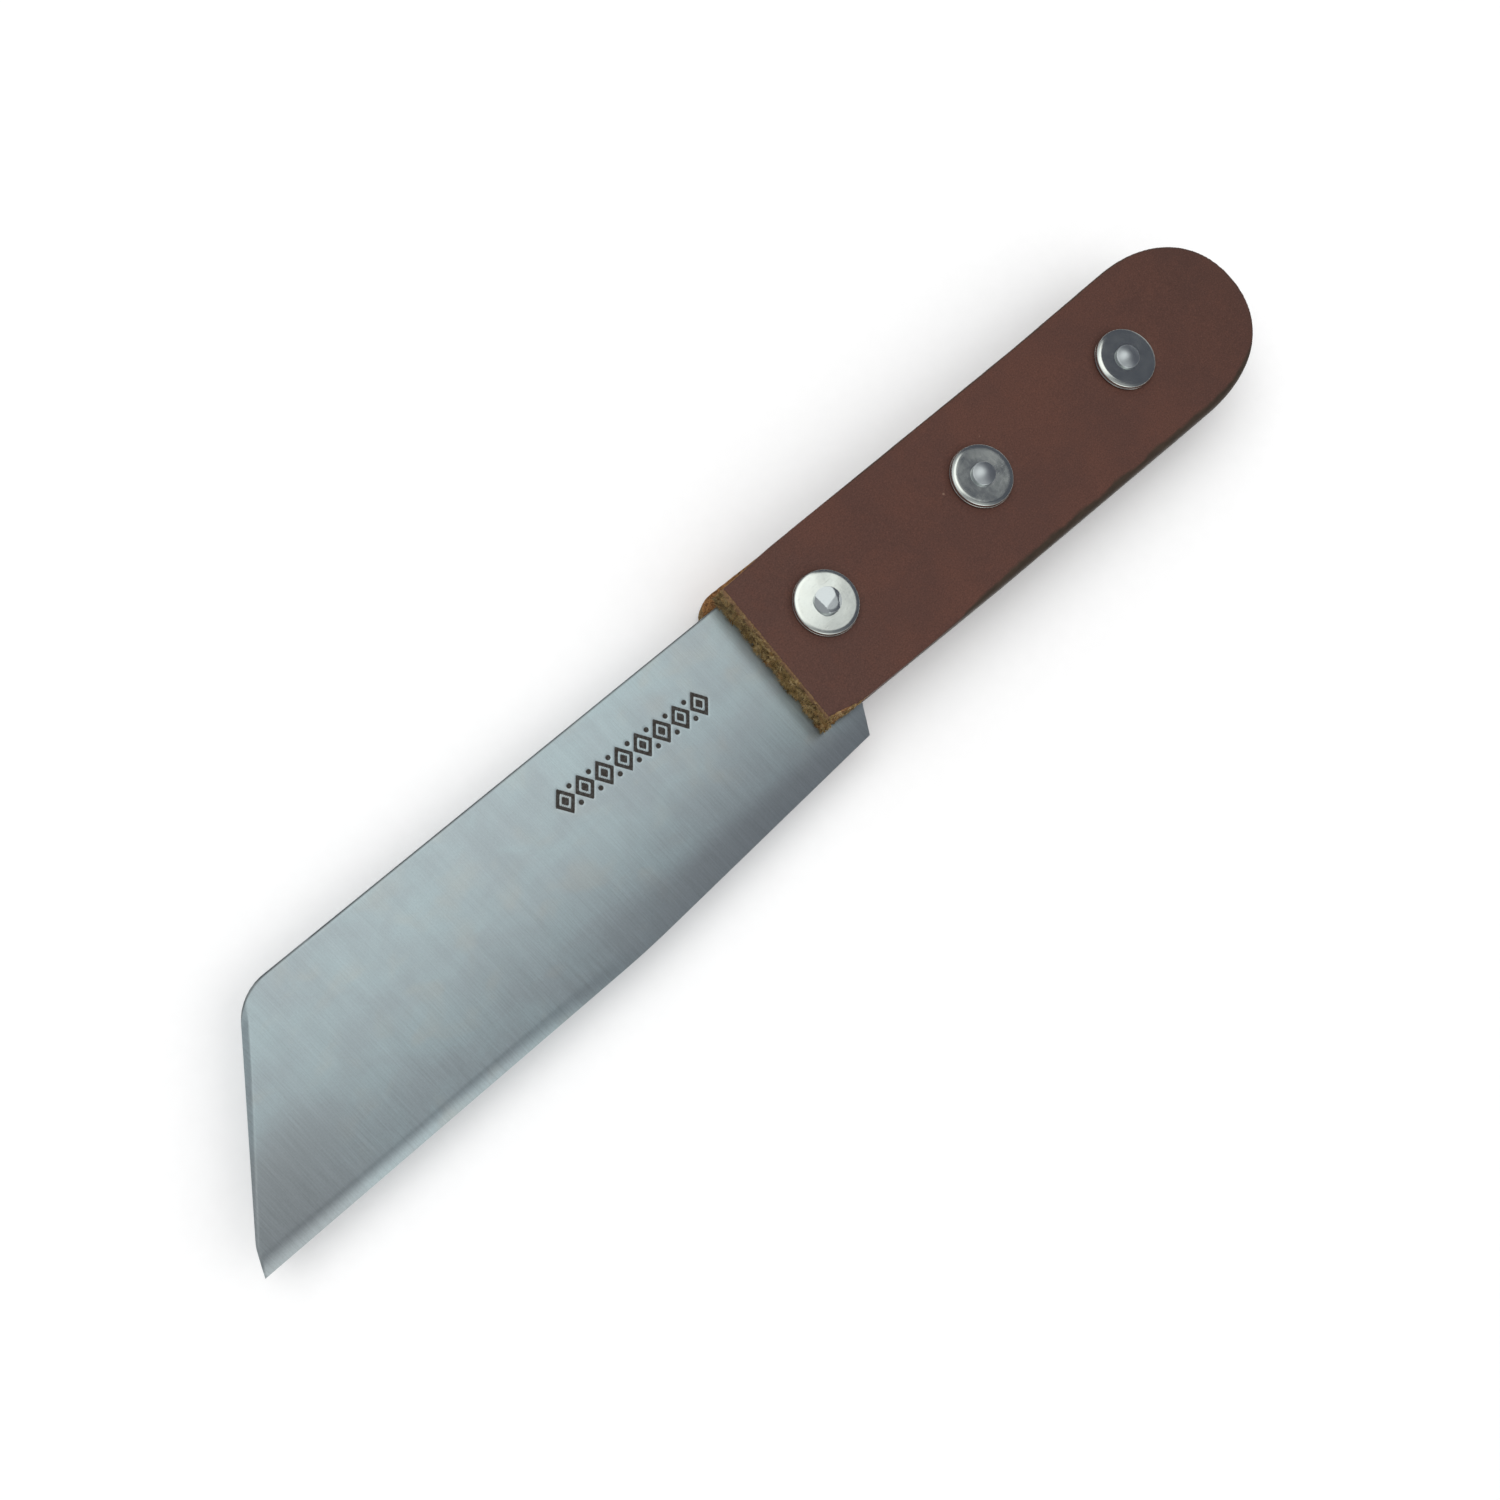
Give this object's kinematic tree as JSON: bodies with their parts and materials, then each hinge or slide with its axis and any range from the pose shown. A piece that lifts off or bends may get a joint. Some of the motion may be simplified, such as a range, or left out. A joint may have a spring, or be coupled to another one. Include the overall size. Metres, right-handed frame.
{
  "type": "skiving knife",
  "caption": "Full-tang leatherworking knife with a broad straight-edged steel blade, slanted toe and a leather slab handle held by clenched rivets and burrs.",
  "frame": {"origin": "centre of the front rivet's head, in the plane of the three heads that the knife lies on", "axes": "+X along the knife towards the butt, +Y towards the spine, away from the cutting edge, +Z out of the side that carries the burrs"},
  "size_m": [0.202, 0.0338, 0.015],
  "materials": {
    "blade_steel": "satin steel with fine grinding lines across the blade, ground brighter along the cutting edge",
    "leather": "smooth red-brown vegetable-tanned leather, raw fibrous tan front end, dark burnished rim",
    "plated_steel": "bright nickel-plated steel, hammered rivet ends, light scratches"
  },
  "bodies": {
    "root": {"blade": "blade_steel", "scale_top": "leather", "scale_bottom": "leather", "rivet_front": "plated_steel", "rivet_middle": "plated_steel", "rivet_rear": "plated_steel", "burr_front": "plated_steel", "burr_middle": "plated_steel", "burr_rear": "plated_steel"}
  },
  "joints": []
}
